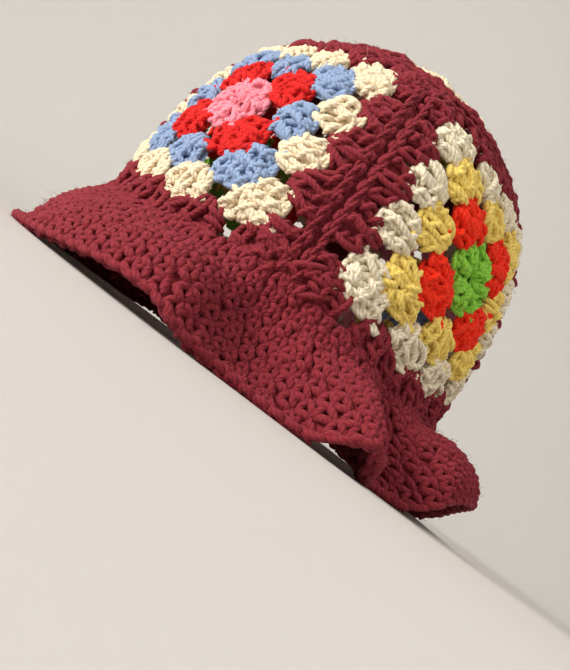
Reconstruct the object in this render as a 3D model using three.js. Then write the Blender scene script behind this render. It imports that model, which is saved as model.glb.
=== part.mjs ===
import * as THREE from 'three';

// Granny square bucket hat, in millimetres, +Z up. The front square faces -Y and the wearer's left is +X.
// Five crocheted squares make the crown, four round the head and one on top. Each square is worked in
// rounds, and each round is a piece. The origin is on the surface that the hat rests on, under its middle.

// Crown, measured on the outside of the fabric. The rim is the line where the brim starts.
const HALF_LENGTH = 97;
const HALF_WIDTH = 94;
const CROWN_HEIGHT = 137;
// The crown's profile is a superellipse with this exponent.
const CROWN_SQUARENESS = 2.76;
// Over the corners the squares stand out by this share of the radius, most halfway up.
const CORNER_SWELL = 0.04;
const SWELL_SHARPNESS = 1.5;
const WALL = 4.6;
const JOINT_GAP = 0.3;

// The rim stands this far above the surface, on the lowest folds of the brim.
const RIM_HEIGHT = 33;
// Moves the plan so that the outline's middle is on the origin.
const PLAN_SHIFT = { x: -3.67, y: 0.06 };

// The top and lower edges of the side squares, as shares of the way from the rim up to the middle of the
// top. The lower edge is drawn up at the corners, and there the brim's fabric reaches up to it.
const TOP_EDGE_AT_CORNER = 0.624;
const TOP_EDGE_AT_MIDDLE = 0.644;
const FOOT_AT_CORNER = 0.06;
const FOOT_AT_MIDDLE = 0.01;

// The squares have five rounds. A square is mapped on -1 to 1 each way.
const ROUNDS = 5;
const CUT_EDGE = 0.97;
const SCALLOP = 0.022;
const ROUND_PUFF = 0.9;

// The joining seam is a double ridge of whip stitches between the squares' edges.
const SEAM_HALF_WIDTH = 2.6;
const SEAM_STEPS = 8;
const SEAM_SECTION = [
  { across: -1, lift: 0.2 },
  { across: -0.6, lift: 2.2 },
  { across: 0, lift: -0.4 },
  { across: 0.6, lift: 2.2 },
  { across: 1, lift: 0.2 },
];

// The brim is worked outwards from the rim, and is built in quarters, one below each side square. Its waves
// are given by the slope of the fabric, in degrees below the horizontal, where it leaves the rim and at
// its edge.
const BRIM_SLANT = 38;
// Columns in each quarter.
const BRIM_COLUMNS = 27;
const BRIM_ROWS = 6;
const BRIM_STEPS = 24;
// The brim's inner face turns from the crown's to its own over this share of the way out.
const TURNED_BY = 0.5;
// Fabric this close to the surface starts to bend out along it.
const SETTLE_HEIGHT = 4;
// The lowest part of the crown flares out into the brim, most where the brim lies flattest.
const SKIRT_HEIGHT = 16;
const SKIRT_FLARE = 7;
const LEAST_FLARE = 0.1;
const FLARE_CURVE = 2;
const BRIM_WAVES = [
  { azimuth: -152, root: 12, edge: 62 },
  { azimuth: -128, root: 80, edge: 58 },
  { azimuth: -104, root: 26, edge: 72 },
  { azimuth: -80, root: 78, edge: 62 },
  { azimuth: -54, root: 38, edge: 84 },
  { azimuth: -32, root: 44, edge: 98 },
  { azimuth: -10, root: 36, edge: 84 },
  { azimuth: 12, root: 24, edge: 66 },
  { azimuth: 31, root: 6, edge: 72 },
  { azimuth: 45, root: 80, edge: 24 },
  { azimuth: 60, root: 56, edge: 58 },
  { azimuth: 72, root: 10, edge: 48 },
  { azimuth: 83, root: 76, edge: 46 },
  { azimuth: 98, root: -16, edge: 76 },
  { azimuth: 114, root: -30, edge: 72 },
  { azimuth: 131, root: -16, edge: 86 },
  { azimuth: 154, root: 76, edge: 60 },
  { azimuth: 180, root: 28, edge: 80 },
];

const YARN = {
  wine: 0x8e2f3e,
  red: 0xdc2420,
  pink: 0xf38c9c,
  lightBlue: 0x98b4e0,
  warmCream: 0xebdcc4,
  offWhite: 0xe6dfcf,
  yellow: 0xf4d56c,
  orangeRed: 0xff3f20,
  limeGreen: 0x84c846,
};

// The yarn of each round, from the middle out. The fifth round of every square is wine.
const SQUARES = [
  { name: 'front', azimuth: 0, yarns: ['pink', 'red', 'lightBlue', 'warmCream'] },
  { name: 'left', azimuth: 90, yarns: ['limeGreen', 'orangeRed', 'yellow', 'offWhite'] },
  { name: 'back', azimuth: 180, yarns: ['lightBlue', 'yellow', 'pink', 'warmCream'] },
  { name: 'right', azimuth: -90, yarns: ['yellow', 'limeGreen', 'orangeRed', 'offWhite'] },
  { name: 'top', azimuth: null, yarns: ['orangeRed', 'pink', 'yellow', 'warmCream'] },
];

// The steps, in degrees and in shares of the way up, over which a surface normal is taken.
const NORMAL_TURN = 0.3;
const NORMAL_STEP = 0.004;

const radians = THREE.MathUtils.degToRad;
const degrees = THREE.MathUtils.radToDeg;
const mix = THREE.MathUtils.lerp;
const clamp = THREE.MathUtils.clamp;

function yarnMaterial(yarn) {
  const color = YARN[yarn];
  return new THREE.MeshStandardMaterial({ color, roughness: 0.9, metalness: 0, flatShading: true });
}

// A crown profile point at a share of the way up: its radius and height, each as a share of the full one.
const MEAN_RADIUS = (HALF_LENGTH + HALF_WIDTH) / 2;
const PROFILE_SAMPLES = 240;
const crownProfile = [];
let crownLength = 0;
for (let i = 0; i <= PROFILE_SAMPLES; i++) {
  const angle = (Math.PI / 2) * (i / PROFILE_SAMPLES);
  const radius = Math.max(Math.cos(angle), 0) ** (2 / CROWN_SQUARENESS);
  const height = Math.sin(angle) ** (2 / CROWN_SQUARENESS);
  if (i > 0) {
    const last = crownProfile[i - 1];
    crownLength += Math.hypot(MEAN_RADIUS * (radius - last.radius), CROWN_HEIGHT * (height - last.height));
  }
  crownProfile.push({ radius, height, length: crownLength });
}

function profileAt(share) {
  const length = Math.min(Math.max(share, 0), 1) * crownLength;
  let i = 1;
  while (i < PROFILE_SAMPLES && crownProfile[i].length < length) i++;
  const [low, high] = [crownProfile[i - 1], crownProfile[i]];
  const part = (length - low.length) / (high.length - low.length);
  return { radius: mix(low.radius, high.radius, part), height: mix(low.height, high.height, part) };
}

// A smooth closed curve through one column of the table of brim waves.
function waveAt(column, azimuth) {
  const count = BRIM_WAVES.length;
  const first = BRIM_WAVES[0].azimuth;
  const turned = ((((azimuth - first) % 360) + 360) % 360) + first;
  let i = count - 1;
  while (BRIM_WAVES[i].azimuth > turned) i--;
  const row = (n) => {
    const wave = BRIM_WAVES[((n % count) + count) % count];
    return { azimuth: wave.azimuth + 360 * Math.floor(n / count), value: wave[column] };
  };
  const [before, start, end, after] = [row(i - 1), row(i), row(i + 1), row(i + 2)];
  const span = end.azimuth - start.azimuth;
  const startTurn = (span * (end.value - before.value)) / (end.azimuth - before.azimuth);
  const endTurn = (span * (after.value - start.value)) / (after.azimuth - start.azimuth);
  const t = (turned - start.azimuth) / span;
  return (
    (2 * t ** 3 - 3 * t ** 2 + 1) * start.value +
    (t ** 3 - 2 * t ** 2 + t) * startTurn +
    (3 * t ** 2 - 2 * t ** 3) * end.value +
    (t ** 3 - t ** 2) * endTurn
  );
}

function skirtFlare(azimuth, height) {
  if (height >= SKIRT_HEIGHT) return 0;
  const most = SKIRT_FLARE * Math.max(Math.cos(radians(waveAt('root', azimuth))), LEAST_FLARE);
  return most * (1 - height / SKIRT_HEIGHT) ** FLARE_CURVE;
}

// The way out from the plan's ellipse, level.
function planNormal(azimuth) {
  const a = radians(azimuth);
  return new THREE.Vector2(Math.sin(a) / HALF_WIDTH, -Math.cos(a) / HALF_LENGTH).normalize();
}

// A point on the crown's outside, at a share of the way up from the rim to the middle of the top.
function crownSurface(azimuth, share) {
  const a = radians(azimuth);
  const { radius, height } = profileAt(share);
  const corner = Math.cos(4 * (a - Math.PI / 4));
  const swell = 1 + CORNER_SWELL * corner * Math.sin(Math.PI * Math.min(share, 1)) ** SWELL_SHARPNESS;
  const rise = CROWN_HEIGHT * height;
  const out = planNormal(azimuth).multiplyScalar(skirtFlare(azimuth, rise));
  return new THREE.Vector3(
    HALF_WIDTH * Math.sin(a) * radius * swell + out.x + PLAN_SHIFT.x,
    -HALF_LENGTH * Math.cos(a) * radius * swell + out.y + PLAN_SHIFT.y,
    rise + RIM_HEIGHT
  );
}

// Where the edges of the side squares run. The azimuths 0, 90, 180 and 270 are the squares' middles.
function topEdgeShare(azimuth) {
  return mix(TOP_EDGE_AT_CORNER, TOP_EDGE_AT_MIDDLE, Math.abs(Math.cos(2 * radians(azimuth))));
}

function footShare(azimuth) {
  return mix(FOOT_AT_MIDDLE, FOOT_AT_CORNER, Math.sin(2 * radians(azimuth)) ** 2);
}

// The way out from the crown. It is level from the squares' foot down, where they meet the brim face to face.
function crownNormal(azimuth, share) {
  const out = planNormal(azimuth);
  if (share > 1 - NORMAL_STEP) return new THREE.Vector3(0, 0, 1);
  if (share < footShare(azimuth) + NORMAL_STEP) return new THREE.Vector3(out.x, out.y, 0);
  const [before, after] = [-NORMAL_TURN, NORMAL_TURN].map((turn) => crownSurface(azimuth + turn, share));
  const [below, above] = [-NORMAL_STEP, NORMAL_STEP].map((step) => crownSurface(azimuth, share + step));
  return after.sub(before).cross(above.sub(below)).normalize();
}

function crownPoint({ azimuth, share }, lift = 0) {
  return crownSurface(azimuth, share).addScaledVector(crownNormal(azimuth, share), lift);
}

function sideSquare(middle) {
  const usable = 1 - SEAM_HALF_WIDTH / (radians(45) * MEAN_RADIUS);
  return (u, v) => {
    const azimuth = middle + 45 * u * usable;
    return { azimuth, share: mix(footShare(azimuth), topEdgeShare(azimuth), (v + 1) / 2) };
  };
}

// The top square: flat in its middle, with its edge on the top edge of the side squares.
function topSquare(u, v) {
  const size = Math.max(Math.abs(u), Math.abs(v));
  if (size === 0) return { azimuth: 0, share: 1 };
  const upright = Math.abs(v) >= Math.abs(u);
  const quarter = upright ? (v < 0 ? 0 : 180) : u > 0 ? 90 : 270;
  const place = upright ? (v < 0 ? u : -u) / size : (u > 0 ? v : -v) / size;
  const edge = size ** 2;
  const turn = mix(degrees(Math.atan(place)), 45 * place, edge);
  const middleReach = (1 - TOP_EDGE_AT_MIDDLE) * crownLength - 2 * SEAM_HALF_WIDTH;
  const edgeReach = (1 - topEdgeShare(quarter + 45 * place)) * crownLength - 2 * SEAM_HALF_WIDTH;
  const reach = size * mix(middleReach * Math.hypot(1, place), edgeReach, edge);
  return { azimuth: quarter + turn, share: 1 - reach / crownLength };
}

// A closed solid, gathered as triangles between named rows of points.
class Solid {
  constructor() {
    this.points = [];
    this.faces = [];
  }

  row(points) {
    const first = this.points.length;
    this.points.push(...points);
    return points.map((_, i) => first + i);
  }

  face(a, b, c) {
    this.faces.push(a, b, c);
  }

  // A strip between two closed rows that have any number of points; the outer row runs outside the inner.
  strip(inner, outer) {
    let i = 0;
    let o = 0;
    while (i < inner.length || o < outer.length) {
      const next = (o + 1) / outer.length <= (i + 1) / inner.length;
      const [a, b] = [inner[i % inner.length], outer[o % outer.length]];
      if (next) this.face(a, b, outer[++o % outer.length]);
      else this.face(a, b, inner[++i % inner.length]);
    }
  }

  // A strip between two open rows of as many points.
  sheet(upper, lower) {
    for (let i = 0; i + 1 < upper.length; i++) {
      this.face(upper[i], lower[i], lower[i + 1]);
      this.face(upper[i], lower[i + 1], upper[i + 1]);
    }
  }

  // The wall between the top and the underside of a closed row. Neighbours share its diagonals.
  wall(top, under, inwards = false) {
    top.forEach((point, i) => {
      const next = (i + 1) % top.length;
      const faces = [[point, under[i], under[next]], [point, under[next], top[next]]];
      for (const [a, b, c] of faces) this.face(a, ...(inwards ? [c, b] : [b, c]));
    });
  }

  fan(middle, row) {
    row.forEach((point, i) => this.face(middle, point, row[(i + 1) % row.length]));
  }

  mesh(name, yarn) {
    const geometry = new THREE.BufferGeometry();
    geometry.setFromPoints(this.points);
    geometry.setIndex(this.faces);
    geometry.computeVertexNormals();
    const mesh = new THREE.Mesh(geometry, yarnMaterial(yarn));
    mesh.name = name;
    return mesh;
  }
}

// A square loop of places on a square, 2 * ring places along each side. Clusters of stitches make it
// bulge out and in by turns; trim moves it in or out for the gap, and limit says where each side is cut.
function squareLoop(ring, scallop, trim, limit) {
  const places = [];
  const reach = ring / ROUNDS;
  for (let side = 0; side < 4; side++) {
    for (let j = 0; j < 2 * ring; j++) {
      const bulge = j % 2 === 0 ? -scallop : scallop;
      const size = reach + bulge + trim;
      const along = j === 0 ? -size : (j - ring) / ROUNDS;
      const corners = [[along, -size], [size, along], [-along, size], [-size, -along]];
      const [u, v] = corners[side];
      places.push([clamp(u, -limit.side, limit.side), clamp(v, -limit.bottom, limit.side)]);
    }
  }
  return places;
}

// One round of a square: a ring of fabric between two loops, thicker along its middle.
function roundPiece(square, ring, name, yarn, bottomLimit) {
  const trim = JOINT_GAP / 2 / (MEAN_RADIUS * radians(45));
  const limit = { side: CUT_EDGE, bottom: bottomLimit };
  const onSquare = (loop, lift) => loop.map(([u, v]) => crownPoint(square(u, v), lift));
  const outer = squareLoop(ring, ring < ROUNDS ? SCALLOP : 0, -trim, limit);
  const crest = squareLoop(ring - 0.5, 0, 0, limit);
  const solid = new Solid();
  const outerTop = solid.row(onSquare(outer, 0));
  const outerUnder = solid.row(onSquare(outer, -WALL));
  const crestTop = solid.row(onSquare(crest, ROUND_PUFF));
  solid.strip(crestTop, outerTop);
  solid.wall(outerTop, outerUnder);
  if (ring === 1) {
    const [top, under] = solid.row([crownPoint(square(0, 0), ROUND_PUFF), crownPoint(square(0, 0), -WALL)]);
    solid.fan(top, crestTop);
    solid.fan(under, [...outerUnder].reverse());
  } else {
    const inner = squareLoop(ring - 1, SCALLOP, trim, limit);
    const innerTop = solid.row(onSquare(inner, 0));
    const innerUnder = solid.row(onSquare(inner, -WALL));
    solid.strip(innerTop, crestTop);
    solid.wall(innerTop, innerUnder, true);
    solid.strip(outerUnder, innerUnder);
  }
  return solid.mesh(name, yarn);
}

// The seam's double ridge, as a row of points across it from one edge to the other and back underneath.
// placeAcross gives the place on the crown, from -1 at the one edge to 1 at the other.
function seamSection(placeAcross) {
  const over = SEAM_SECTION.map(({ across, lift }) => crownPoint(placeAcross(across), lift));
  return [...over, crownPoint(placeAcross(1), -WALL), crownPoint(placeAcross(-1), -WALL)];
}

// A seam up between two side squares, from the brim to the seam round the top square.
function sideSeam(corner, name) {
  const solid = new Solid();
  const halfTurn = (1 - CUT_EDGE) * 45 + degrees((SEAM_HALF_WIDTH - JOINT_GAP) / MEAN_RADIUS);
  const endShare = mix(FOOT_AT_CORNER, TOP_EDGE_AT_CORNER, (CUT_EDGE + 1) / 2) - JOINT_GAP / crownLength;
  const rows = [];
  for (let i = 0; i <= SEAM_STEPS; i++) {
    const share = mix(FOOT_AT_CORNER, endShare, i / SEAM_STEPS);
    rows.push(solid.row(seamSection((across) => ({ azimuth: corner + across * halfTurn, share }))));
  }
  for (let i = 0; i < SEAM_STEPS; i++) solid.strip(rows[i + 1], rows[i]);
  for (let i = 1; i + 1 < rows[0].length; i++) {
    solid.face(rows[0][0], rows[0][i + 1], rows[0][i]);
    const end = rows[SEAM_STEPS];
    solid.face(end[0], end[i], end[i + 1]);
  }
  return solid.mesh(name, 'wine');
}

// The seam round the top square.
function topSeam() {
  const solid = new Solid();
  const gap = JOINT_GAP / crownLength;
  const rows = [];
  for (let quarter = 0; quarter < 4; quarter++) {
    for (let i = 0; i < SEAM_STEPS; i++) {
      const place = (2 * i) / SEAM_STEPS - 1;
      const azimuth = 90 * quarter + 45 * place;
      const lower = mix(footShare(azimuth), topEdgeShare(azimuth), (CUT_EDGE + 1) / 2) + gap / 2;
      const upper = topSquare(CUT_EDGE * place, -CUT_EDGE).share - gap;
      const placeAcross = (across) => ({ azimuth, share: mix(lower, upper, (across + 1) / 2) });
      rows.push(solid.row(seamSection(placeAcross)));
    }
  }
  const count = rows[0].length;
  rows.forEach((row, i) => {
    const next = rows[(i + 1) % rows.length];
    for (let j = 0; j < count; j++) {
      const k = (j + 1) % count;
      solid.face(row[j], next[j], next[k]);
      solid.face(row[j], next[k], row[k]);
    }
  });
  return solid.mesh('seam_top', 'wine');
}

// The brim's faces from the squares' foot to the edge at one azimuth. Fabric that would hang lower than the
// surface bends out along it instead.
function brimColumn(azimuth) {
  const [root, edge] = [waveAt('root', azimuth), waveAt('edge', azimuth)];
  const out = planNormal(azimuth);
  const step = BRIM_SLANT / BRIM_STEPS;
  const under = crownNormal(azimuth, 0).multiplyScalar(-WALL);
  const foot = footShare(azimuth);
  const column = [foot - JOINT_GAP / crownLength, foot / 2].map((share) => {
    const outside = crownSurface(azimuth, share);
    return { outside, inside: outside.clone().add(under) };
  });
  const spot = crownSurface(azimuth, 0);
  for (let i = 0; i <= BRIM_STEPS; i++) {
    const slope = radians(mix(root, edge, i / BRIM_STEPS));
    const room = clamp((spot.z - WALL / 2) / SETTLE_HEIGHT, 0, 1);
    const fall = Math.sin(slope) > 0 ? Math.sin(slope) * room : Math.sin(slope);
    const reach = Math.sqrt(1 - fall ** 2);
    if (i % (BRIM_STEPS / BRIM_ROWS) === 0) {
      const own = new THREE.Vector3(-out.x * fall, -out.y * fall, -reach).multiplyScalar(WALL);
      const bend = Math.min(i / BRIM_STEPS / TURNED_BY, 1);
      const inside = under.clone().lerp(own, bend).setLength(WALL).add(spot);
      inside.z = Math.max(inside.z, 0);
      column.push({ outside: spot.clone(), inside });
    }
    spot.x += out.x * reach * step;
    spot.y += out.y * reach * step;
    spot.z -= fall * step;
  }
  return column;
}

// The brim below one side square.
function brimQuarter(middle, name) {
  const solid = new Solid();
  const span = 90 - degrees(JOINT_GAP / MEAN_RADIUS);
  const columns = Array.from({ length: BRIM_COLUMNS + 1 }, (_, i) =>
    brimColumn(middle + span * (i / BRIM_COLUMNS - 0.5))
  );
  const [outside, inside] = ['outside', 'inside'].map((face) =>
    columns[0].map((_, row) => solid.row(columns.map((column) => column[row][face])))
  );
  const last = outside.length - 1;
  for (let row = 0; row < last; row++) {
    solid.sheet(outside[row], outside[row + 1]);
    solid.sheet(inside[row + 1], inside[row]);
  }
  solid.sheet(inside[0], outside[0]);
  solid.sheet(outside[last], inside[last]);
  const endOf = (rows, i) => rows.map((row) => row[i]);
  solid.sheet(endOf(outside, 0), endOf(inside, 0));
  solid.sheet(endOf(inside, BRIM_COLUMNS), endOf(outside, BRIM_COLUMNS));
  return solid.mesh(name, 'wine');
}

const hat = new THREE.Group();
for (const { name, azimuth, yarns } of SQUARES) {
  const square = azimuth === null ? topSquare : sideSquare(azimuth);
  const bottomLimit = azimuth === null ? CUT_EDGE : 1;
  [...yarns, 'wine'].forEach((yarn, i) => {
    hat.add(roundPiece(square, i + 1, `${name}_square_round_${i + 1}`, yarn, bottomLimit));
  });
}
hat.add(sideSeam(45, 'seam_front_left'));
hat.add(sideSeam(135, 'seam_left_back'));
hat.add(sideSeam(225, 'seam_back_right'));
hat.add(sideSeam(315, 'seam_right_front'));
hat.add(topSeam());
hat.add(brimQuarter(0, 'brim_front'));
hat.add(brimQuarter(90, 'brim_left'));
hat.add(brimQuarter(180, 'brim_back'));
hat.add(brimQuarter(270, 'brim_right'));

export default hat;
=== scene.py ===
import math

import bpy
import numpy as np
from mathutils import Matrix, Vector


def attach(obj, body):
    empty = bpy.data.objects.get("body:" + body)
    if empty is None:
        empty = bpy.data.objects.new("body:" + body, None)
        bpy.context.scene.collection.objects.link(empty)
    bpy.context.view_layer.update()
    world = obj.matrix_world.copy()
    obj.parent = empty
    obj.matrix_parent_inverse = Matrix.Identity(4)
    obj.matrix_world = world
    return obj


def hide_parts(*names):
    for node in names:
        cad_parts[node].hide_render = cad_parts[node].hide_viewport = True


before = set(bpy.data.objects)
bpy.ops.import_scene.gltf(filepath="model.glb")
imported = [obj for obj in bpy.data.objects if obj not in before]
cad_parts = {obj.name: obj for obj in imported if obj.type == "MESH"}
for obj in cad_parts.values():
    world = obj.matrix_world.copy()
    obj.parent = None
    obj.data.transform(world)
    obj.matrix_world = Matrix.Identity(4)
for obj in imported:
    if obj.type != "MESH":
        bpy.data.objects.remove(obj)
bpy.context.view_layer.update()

# Sizes in millimetres, as in the part's source.
MM = 0.001
HALF_LENGTH = 97.0
HALF_WIDTH = 94.0
MEAN_RADIUS = (HALF_LENGTH + HALF_WIDTH) / 2
CROWN_HEIGHT = 137.0
RIM_HEIGHT = 33.0
WALL = 4.6
BRIM_SLANT = 38.0
SEAM_HALF_WIDTH = 2.6
# The crown stands this far off the origin, so that the middle of the whole outline is there.
PLAN_SHIFT = np.array([-3.67, 0.06, 0.0])

# The crown's shape: how square it is from the side, and how much its corners swell at half height.
CROWN_SQUARENESS = 2.76
CORNER_SWELL = 0.04
SWELL_POWER = 1.5

# The lowest stretch of the crown, which flares out where the brim leaves it level.
SKIRT_HEIGHT = 16.0
SKIRT_FLARE = 7.0
SKIRT_LIMIT = 1.3
LEAST_FLARE = 0.1

# The squares' edges, as shares of the way up from the rim to the middle of the top.
TOP_EDGE_AT_CORNER = 0.624
TOP_EDGE_AT_MIDDLE = 0.644
FOOT_AT_CORNER = 0.06
FOOT_AT_MIDDLE = 0.01
CORNER_TURN = 45.0
SQUARE_SIDES = 4
ROUNDS = 5

# How the brim lies down on the surface: below this height it levels out, and what would sink in is rounded.
SETTLE_HEIGHT = 4.0
SETTLE_SOFTNESS = 0.3

# Steps for curves and for the normals of the crown, and a number that keeps divisions away from zero.
PROFILE_STEPS = 1200
NORMAL_TURN = 0.3
NORMAL_STEP = 0.004
TINY = 1e-9

# The brim's waves: the slope of the fabric below the horizontal, at the rim and at the edge, in degrees.
BRIM_WAVES = [
    {"azimuth": -152, "root": 12, "edge": 62},
    {"azimuth": -128, "root": 80, "edge": 58},
    {"azimuth": -104, "root": 26, "edge": 72},
    {"azimuth": -80, "root": 78, "edge": 62},
    {"azimuth": -54, "root": 38, "edge": 84},
    {"azimuth": -32, "root": 44, "edge": 98},
    {"azimuth": -10, "root": 36, "edge": 84},
    {"azimuth": 12, "root": 24, "edge": 66},
    {"azimuth": 31, "root": 6, "edge": 72},
    {"azimuth": 45, "root": 80, "edge": 24},
    {"azimuth": 60, "root": 56, "edge": 58},
    {"azimuth": 72, "root": 10, "edge": 48},
    {"azimuth": 83, "root": 76, "edge": 46},
    {"azimuth": 98, "root": -16, "edge": 76},
    {"azimuth": 114, "root": -30, "edge": 72},
    {"azimuth": 131, "root": -16, "edge": 86},
    {"azimuth": 154, "root": 76, "edge": 60},
    {"azimuth": 180, "root": 28, "edge": 80},
]

# The yarns: the colour of the lit fibres, and how far it varies along the strand.
YARNS = {
    "wine": {"colour": (0.510, 0.140, 0.180), "variation": 0.16},
    "red": {"colour": (0.820, 0.110, 0.100), "variation": 0.08},
    "pink": {"colour": (0.955, 0.560, 0.620), "variation": 0.08},
    "light_blue": {"colour": (0.545, 0.630, 0.765), "variation": 0.08},
    "warm_cream": {"colour": (0.930, 0.860, 0.730), "variation": 0.06},
    "off_white": {"colour": (0.950, 0.900, 0.790), "variation": 0.06},
    "yellow": {"colour": (0.985, 0.865, 0.450), "variation": 0.08},
    "orange_red": {"colour": (1.000, 0.190, 0.085), "variation": 0.05},
    "lime_green": {"colour": (0.560, 0.820, 0.270), "variation": 0.10},
}

# The yarn of each round, from the middle out. The fifth round of every square is wine.
SQUARES = {
    "front": {"azimuth": 0, "yarns": ["pink", "red", "light_blue", "warm_cream"]},
    "left": {"azimuth": 90, "yarns": ["lime_green", "orange_red", "yellow", "off_white"]},
    "back": {"azimuth": 180, "yarns": ["light_blue", "yellow", "pink", "warm_cream"]},
    "right": {"azimuth": -90, "yarns": ["yellow", "lime_green", "orange_red", "off_white"]},
    "top": {"azimuth": None, "yarns": ["orange_red", "pink", "yellow", "warm_cream"]},
}
SEAMS = {"seam_front_left": 45, "seam_left_back": 135, "seam_back_right": 225, "seam_right_front": 315}

CHANCE_SEED = 7
rng = np.random.default_rng(CHANCE_SEED)


def mix(start, end, part):
    return start + (end - start) * part


def unit(vectors):
    """The vectors at length 1."""
    return vectors / np.maximum(np.linalg.norm(vectors, axis=-1, keepdims=True), TINY)


# The crown as a surface

def crown_profile():
    """The crown's side as radius and height, each up to 1, and the length along it in mm."""
    angle = np.linspace(0, math.pi / 2, PROFILE_STEPS)
    radius = np.clip(np.cos(angle), 0, 1) ** (2 / CROWN_SQUARENESS)
    height = np.sin(angle) ** (2 / CROWN_SQUARENESS)
    steps = np.hypot(MEAN_RADIUS * np.diff(radius), CROWN_HEIGHT * np.diff(height))
    length = np.concatenate([[0], np.cumsum(steps)])
    return radius, height, length


PROFILE_RADIUS, PROFILE_HEIGHT, PROFILE_LENGTH = crown_profile()
CROWN_LENGTH = PROFILE_LENGTH[-1]


def wave_at(column, azimuth):
    """A smooth closed curve through one column of the table of brim waves."""
    at = np.array([wave["azimuth"] for wave in BRIM_WAVES], float)
    value = np.array([wave[column] for wave in BRIM_WAVES], float)
    at = np.concatenate([at[-2:] - 360, at, at[:3] + 360])
    value = np.concatenate([value[-2:], value, value[:3]])
    turned = (azimuth - at[2]) % 360 + at[2]
    i = np.searchsorted(at, turned, side="right") - 1
    span = at[i + 1] - at[i]
    start_turn = span * (value[i + 1] - value[i - 1]) / (at[i + 1] - at[i - 1])
    end_turn = span * (value[i + 2] - value[i]) / (at[i + 2] - at[i])
    t = (turned - at[i]) / span
    return ((2 * t**3 - 3 * t**2 + 1) * value[i] + (t**3 - 2 * t**2 + t) * start_turn
            + (3 * t**2 - 2 * t**3) * value[i + 1] + (t**3 - t**2) * end_turn)


def plan_normal(azimuth):
    """The level direction straight out from the crown."""
    a = np.radians(azimuth)
    return unit(np.stack([np.sin(a) / HALF_WIDTH, -np.cos(a) / HALF_LENGTH, np.zeros_like(a)], -1))


def crown_surface(azimuth, share):
    """The outside of the crown at a share of the way up from the rim to the middle of the top."""
    azimuth, share = np.broadcast_arrays(np.asarray(azimuth, float), np.asarray(share, float))
    a = np.radians(azimuth)
    length = np.clip(share, 0, 1) * CROWN_LENGTH
    radius = np.interp(length, PROFILE_LENGTH, PROFILE_RADIUS)
    height = np.interp(length, PROFILE_LENGTH, PROFILE_HEIGHT) * CROWN_HEIGHT
    height = height + np.minimum(share, 0) * CROWN_LENGTH
    corner = np.cos(4 * a - math.pi)
    swell = 1 + CORNER_SWELL * corner * np.sin(math.pi * np.clip(share, 0, 1)) ** SWELL_POWER
    to_left = HALF_WIDTH * np.sin(a) * radius * swell
    to_back = -HALF_LENGTH * np.cos(a) * radius * swell
    near_rim = np.clip(1 - height / SKIRT_HEIGHT, 0, SKIRT_LIMIT) ** 2
    flare = SKIRT_FLARE * np.maximum(np.cos(np.radians(wave_at("root", azimuth))), LEAST_FLARE) * near_rim
    point = np.stack([to_left, to_back, height], -1)
    point = point + plan_normal(azimuth) * flare[..., None] + PLAN_SHIFT
    point[..., 2] += RIM_HEIGHT
    return point


def crown_normal(azimuth, share):
    share = np.minimum(share, 1 - 2 * NORMAL_STEP)
    along = crown_surface(azimuth + NORMAL_TURN, share) - crown_surface(azimuth - NORMAL_TURN, share)
    up = crown_surface(azimuth, share + NORMAL_STEP) - crown_surface(azimuth, share - NORMAL_STEP)
    return unit(np.cross(along, up))


# The squares on the crown. The azimuths 0, 90, 180 and 270 are the middles of the side squares.

def top_edge_share(azimuth):
    return mix(TOP_EDGE_AT_CORNER, TOP_EDGE_AT_MIDDLE, np.abs(np.cos(2 * np.radians(azimuth))))


def foot_share(azimuth):
    return mix(FOOT_AT_MIDDLE, FOOT_AT_CORNER, np.sin(2 * np.radians(azimuth)) ** 2)


def side_square(middle):
    """A function from places in a side square, u and v from -1 to 1, to azimuth and share on the crown."""
    usable = 1 - SEAM_HALF_WIDTH / (math.radians(CORNER_TURN) * MEAN_RADIUS)

    def place(u, v):
        edge_azimuth = middle + CORNER_TURN * np.clip(u, -1, 1) * usable
        share = mix(foot_share(edge_azimuth), top_edge_share(edge_azimuth), (v + 1) / 2)
        return middle + CORNER_TURN * u * usable, share
    return place


def top_square(u, v):
    """The same for the top square: round at its middle, and square at its edge."""
    u, v = np.broadcast_arrays(np.asarray(u, float), np.asarray(v, float))
    size = np.maximum(np.maximum(np.abs(u), np.abs(v)), TINY)
    upright = np.abs(v) >= np.abs(u)
    quarter = np.where(upright, np.where(v < 0, 0.0, 180.0), np.where(u > 0, 90.0, 270.0))
    place = np.where(upright, np.where(v < 0, u, -u), np.where(u > 0, v, -v)) / size
    edge = np.clip(size**2, 0, 1)
    turn = np.degrees(np.arctan(place)) * (1 - edge) + CORNER_TURN * place * edge
    middle_reach = (1 - TOP_EDGE_AT_MIDDLE) * CROWN_LENGTH - 2 * SEAM_HALF_WIDTH
    edge_reach = (1 - top_edge_share(quarter + CORNER_TURN * place)) * CROWN_LENGTH - 2 * SEAM_HALF_WIDTH
    reach = size * (middle_reach * np.hypot(1, place) * (1 - edge) + edge_reach * edge)
    return quarter + turn, 1 - reach / CROWN_LENGTH


def square_place(name):
    azimuth = SQUARES[name]["azimuth"]
    return top_square if azimuth is None else side_square(azimuth)


# The brim as a surface

# The grid has its rows down the slant, a band of rows on the crown above them, and its columns all round.
BRIM_STEPS = 76
BRIM_STEP = BRIM_SLANT / BRIM_STEPS
BAND_STEPS = 26
BRIM_AZIMUTHS = 1440


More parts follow.
